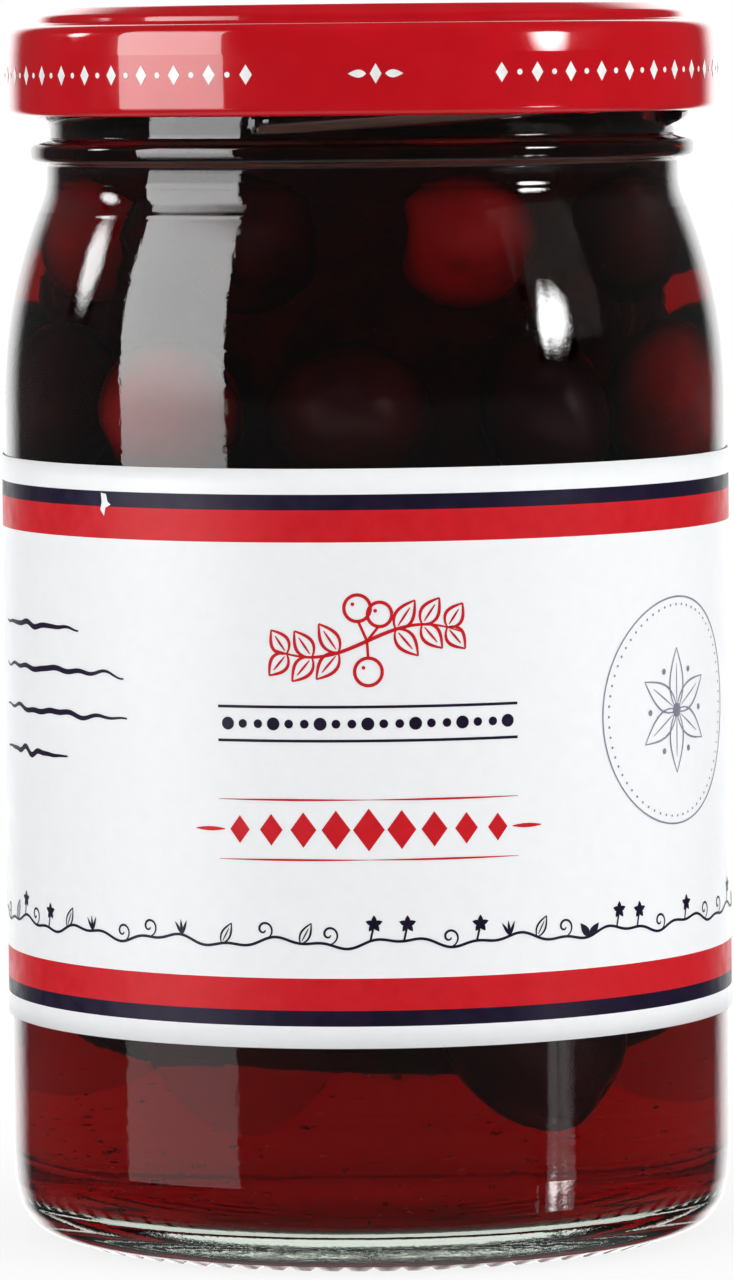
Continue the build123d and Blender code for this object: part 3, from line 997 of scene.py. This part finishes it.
def fruit_mesh(kind, luck):
    """A fruit's points about its own middle, its faces, and how many of the faces are its skin."""
    offset = Vector([luck.uniform(-50, 50) for _ in range(3)])
    points, faces = [], []

    def reach(down, around):
        way = direction(down, around)
        lumps = 0.022 * noise.noise(way * 1.7 + offset) + 0.006 * noise.noise(way * 6 + offset)
        if kind == "strawberry":
            pit = min((way - direction(*seed)).length_squared for seed in seeds)
            lumps -= SEED_PIT * exp(-pit / 0.0025)
        size = fruit_radius(kind, down, around) + lumps
        return Vector((way.x * size, way.y * size, way.z * size * FRUIT_TALL[kind]))

    seeds = list(seed_places())
    for row in range(1, FRUIT_ROWS):
        for column in range(FRUIT_COLUMNS):
            points.append(reach(pi * row / FRUIT_ROWS, TURN * column / FRUIT_COLUMNS))
    top, bottom = len(points), len(points) + 1
    points += [reach(0.001, 0), reach(pi - 0.001, 0)]
    for column in range(FRUIT_COLUMNS):
        after = (column + 1) % FRUIT_COLUMNS
        faces.append([top, column, after])
        last = (FRUIT_ROWS - 2) * FRUIT_COLUMNS
        faces.append([last + column, bottom, last + after])
        for row in range(FRUIT_ROWS - 2):
            here = row * FRUIT_COLUMNS
            below = here + FRUIT_COLUMNS
            faces.append([here + column, below + column, below + after, here + after])
    skin_faces = len(faces)
    if kind == "strawberry":
        for down, around in seeds:
            middle = reach(down, around)
            out = middle.normalized()
            side = out.cross(Vector((0, 0, 1))).normalized()
            up = side.cross(out)
            first = len(points)
            points += [middle + out * SEED_PROUD, middle - out * 0.01,
                       middle + side * SEED_HALF_WIDE, middle - side * SEED_HALF_WIDE,
                       middle + up * SEED_HALF_LONG, middle - up * SEED_HALF_LONG]
            for a, b in ((2, 4), (4, 3), (3, 5), (5, 2)):
                faces += [[first, first + a, first + b], [first + 1, first + b, first + a]]
    else:
        rim = [reach(0.13, TURN * k / SCAR_SIDES) * 1.004 for k in range(SCAR_SIDES)]
        first, middle = len(points), len(points) + SCAR_SIDES
        points += [*rim, sum(rim, Vector()) / SCAR_SIDES + Vector((0, 0, 0.004))]
        faces += [[middle, first + k, first + (k + 1) % SCAR_SIDES] for k in range(SCAR_SIDES)]
    return points, faces, skin_faces


def fruit_piece(node, kind, skin_wears, mark):
    """A fruit that fills the box of its CAD node."""
    luck = random.Random(node)
    points, faces, skin_faces = fruit_mesh(kind, luck)
    turned = Matrix.Rotation(luck.uniform(0, TURN), 3, "Z")
    turned = turned @ Matrix.Rotation(luck.uniform(0.2, 2.6), 3, "X")
    turned = turned @ Matrix.Rotation(luck.uniform(0, TURN), 3, "Z")
    points = [turned @ point for point in points]
    low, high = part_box(node)
    middle, size = (low + high) / 2, high - low
    for axis in range(3):
        spread = [point[axis] for point in points]
        least, most = min(spread), max(spread)
        for point in points:
            share = (point[axis] - least) / (most - least) - 0.5
            point[axis] = middle[axis] + share * size[axis] * FRUIT_FIT
    points = [tuple(point) for point in points]
    fruit = make_piece(f"{node}_fruit", points, faces, "jar", kind, skin_wears, mark)
    for face in fruit.data.polygons[skin_faces:]:
        face.material_index = 1
    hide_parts(node)


# Cherries that wear the bright, painted-light copy of the cherry skin; the others wear the dark,
# painted-shade copy
PAINTED_LIT_CHERRIES = {f"cherry_{number}" for number in (1, 4, 6, 9, 11, 13, 16)}
SOAKED_FRUIT = {"plum_2", "plum_3", "plum_4", "strawberry_8"}
SKINS = {"cherry": dim_cherry_painted_shade, "plum": plum_skin, "strawberry": strawberry_skin, "grape": grape_skin}
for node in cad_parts:
    kind = node.rsplit("_", 1)[0]
    if kind not in SKINS:
        continue
    wears = SKINS[kind]
    if node in PAINTED_LIT_CHERRIES:
        wears = bright_cherry_painted_light
    elif node in SOAKED_FRUIT:
        wears = soaked_skin
    fruit_piece(node, kind, wears, seed_tan if kind == "strawberry" else scar_brown)

# Floor: white, its glow weaker near the jar as painted shade round and under its foot, which also lets the
# jar's real soft shadow show, and whiter with distance until it meets the backdrop
def sheet(name, corners, wears):
    """A flat piece of the studio with four corners, in one material."""
    mesh = bpy.data.meshes.new(name)
    mesh.from_pydata(corners, [], [[0, 1, 2, 3]])
    mesh.materials.append(wears)
    return bpy.data.objects.new(name, mesh)


FLOOR_HALF = 60.0
FLOOR_UNDER = -0.00005
NEAR_GLOW = 0.84
GLOW_FROM, GLOW_TO = 0.03, 0.1

floor_white = new_material("studio_floor_white", (0.93, 0.93, 0.93, 1), 0.9)
floor_tree = floor_white.node_tree
rays = add_node(floor_tree, "LightPath").outputs
seen = reckoned(floor_tree, "MAXIMUM", rays["Is Camera Ray"], rays["Is Transmission Ray"])
away = reckoned(floor_tree, "LENGTH", shaded_place(floor_tree), kind="VectorMath")
# Painted shade: less of the white glow near the jar, so the floor is darker round and under it
whiter = eased(floor_tree, away, GLOW_FROM, GLOW_TO, NEAR_GLOW, 1.0)
whiter = reckoned(floor_tree, "MULTIPLY", seen, whiter)
lit = floor_tree.nodes["Principled BSDF"].outputs["BSDF"]
show(floor_tree, blended(floor_tree, whiter, lit, white_glow(floor_tree, 1.0)))
corners = [(x * FLOOR_HALF, y * FLOOR_HALF, FLOOR_UNDER) for x, y in ((-1, -1), (1, -1), (1, 1), (-1, 1))]
floor = sheet("studio_floor", corners, floor_white)
scene.collection.objects.link(floor)
floor.visible_glossy = False

# World: white to the eye and behind the jar, but dim in front of it, as a studio is behind the camera
AMBIENT = 0.62
FRONT_DIM = 0.02
FRONT_MIRRORED = 0.06
BACK_MIRRORED = 1.7
TABLE_GLOW = 0.5
world = bpy.data.worlds.new("studio_world")
scene.world = world
world.use_nodes = True
sky = world.node_tree
sky.nodes.clear()
rays = add_node(sky, "LightPath").outputs
way = axes(sky, socket(sky, "TexCoord", "Generated"))


def background(strength):
    return socket(sky, "Background", "Background", {"Color": WHITE, "Strength": strength})


def backdrop(start, full, front, strength):
    """A background whose strength grows from the front to the back of the studio."""
    return background(eased(sky, way["Y"], start, full, front, strength))


table = background(eased(sky, way["Z"], -0.5, -0.85, 0.0, TABLE_GLOW))
mirrored = {0: backdrop(0.78, 0.92, FRONT_MIRRORED, BACK_MIRRORED), 1: table}
mirrored = socket(sky, "AddShader", "Shader", mirrored)
chosen = blended(sky, rays["Is Glossy Ray"], background(AMBIENT), mirrored)
chosen = blended(sky, rays["Is Transmission Ray"], chosen, backdrop(-0.2, 0.2, FRONT_DIM, 1.0))
chosen = blended(sky, rays["Is Camera Ray"], chosen, background(1.0))
add_node(sky, "OutputWorld", {"Surface": chosen})


# Lamps light the jar, and cards are what it mirrors. All stand round a point at its middle
AIM = Vector((0, 0, 0.065))
OVAL_FULL = 0.35
BOARD_FULL = 0.4


def stand(azimuth, elevation, distance):
    """A place round the jar: azimuth 0 is in front of the label and 90 to its right, as it is seen."""
    turned, raised = radians(azimuth), radians(elevation)
    flat = distance * cos(raised)
    return Vector((flat * sin(turned), -flat * cos(turned), AIM.z + distance * sin(raised)))


def put(thing, place):
    """Sets a lamp or card at a place, turned to the jar."""
    thing.location = place
    thing.rotation_euler = (AIM - place).to_track_quat("-Z", "Y").to_euler()
    scene.collection.objects.link(thing)


def softbox(name, place, wide, tall, power):
    """A soft lamp that lights the jar but isn't mirrored in it, because the cards are."""
    data = bpy.data.lights.new(name, "AREA")
    data.shape = "RECTANGLE"
    data.size, data.size_y, data.energy = wide, tall, power
    lamp = bpy.data.objects.new(name, data)
    put(lamp, place)
    lamp.visible_glossy = False


def glow_card(name, azimuth, elevation, distance, corners, fade):
    """A card that only reflections see, its corners in shares of its distance. fade makes its strength."""
    shine = bpy.data.materials.new(name)
    shine.use_nodes = True
    tree = shine.node_tree
    tree.nodes.remove(tree.nodes["Principled BSDF"])
    show(tree, white_glow(tree, fade(tree, shaded_place(tree))))
    made = sheet(name, [(x * distance, y * distance, 0) for x, y in corners], shine)
    put(made, stand(azimuth, elevation, distance))
    made.visible_camera = made.visible_diffuse = made.visible_shadow = made.visible_transmission = False


def oval(name, azimuth, elevation, wide_angle, tall_angle, strength, edge=0.0, distance=1.0):
    """A card that is bright at its middle and fades in an oval, to a share of its strength at its edge."""
    wide, tall = tan(radians(wide_angle / 2)), tan(radians(tall_angle / 2))

    def fade(tree, spot):
        shares = (1 / (wide * distance), 1 / (tall * distance), 0)
        scaled = reckoned(tree, "MULTIPLY", spot, shares, kind="VectorMath", result="Vector")
        off = reckoned(tree, "LENGTH", scaled, kind="VectorMath")
        return eased(tree, off, 1.0, OVAL_FULL, edge * strength, strength)

    corners = [(-wide, -tall), (wide, -tall), (wide, tall), (-wide, tall)]
    glow_card(name, azimuth, elevation, distance, corners, fade)


def board(name, azimuth, elevation, corners, strength, foot, top):
    """A card with sharp edges, whose foot and top have a share of the strength at its middle."""
    low, high = min(y for _, y in corners), max(y for _, y in corners)

    def fade(tree, spot):
        up = axes(tree, spot)["Y"]
        risen = eased(tree, up, low, BOARD_FULL * low, foot * strength, strength)
        return reckoned(tree, "MULTIPLY", risen, eased(tree, up, BOARD_FULL * high, high, 1.0, top))

    glow_card(name, azimuth, elevation, 1.0, corners, fade)


softbox("lamp_left", stand(-70, 20, 1.0), 0.6, 0.8, 2.4)
softbox("lamp_right", stand(72, 25, 1.0), 0.5, 0.5, 3.6)
softbox("lamp_top", stand(0, 75, 0.9), 0.7, 0.5, 1.4)
LEFT_BOARD = ((-0.394, -0.466), (0.372, -0.466), (0.185, 0.466), (-0.394, 0.466))
LEFT_LOW_BOARD = ((-0.37, -0.09), (0.36, -0.09), (0.36, 0.12), (-0.37, 0.12))
board("card_left", -62, 20, LEFT_BOARD, 7.8, foot=0.54, top=0.1)
board("card_left_low", -62, -12, LEFT_LOW_BOARD, 1.0, foot=0.0, top=1.0)
oval("card_far_left", -105, 19, 12, 17, 12.0)
oval("card_right", 62.5, 15.5, 17, 16, 26.0)
oval("card_right_low", 60, -9.5, 15, 12, 1.1)
oval("card_right_spot", 60, -15.5, 13, 9, 17.0, edge=0.06, distance=0.9)

# The photograph's own view
CAMERA_BACK = 0.7957
CAMERA_UP = 0.11806
CAMERA_PITCH = 4.33
CAMERA_ROLL = 0.578
LENS = 228.6
SENSOR = 36

camera_data = bpy.data.cameras.new("photo_camera")
camera_data.lens = LENS
camera_data.sensor_width = SENSOR
camera_data.clip_start = 0.01
camera_data.clip_end = 200
camera = bpy.data.objects.new("photo_camera", camera_data)
tilt = Matrix.Rotation(radians(90 - CAMERA_PITCH), 4, "X")
tilt = tilt @ Matrix.Rotation(radians(-CAMERA_ROLL), 4, "Z")
camera.matrix_world = Matrix.Translation((0, -CAMERA_BACK, CAMERA_UP)) @ tilt
scene.collection.objects.link(camera)
scene.camera = camera

scene.view_settings.view_transform = "Standard"
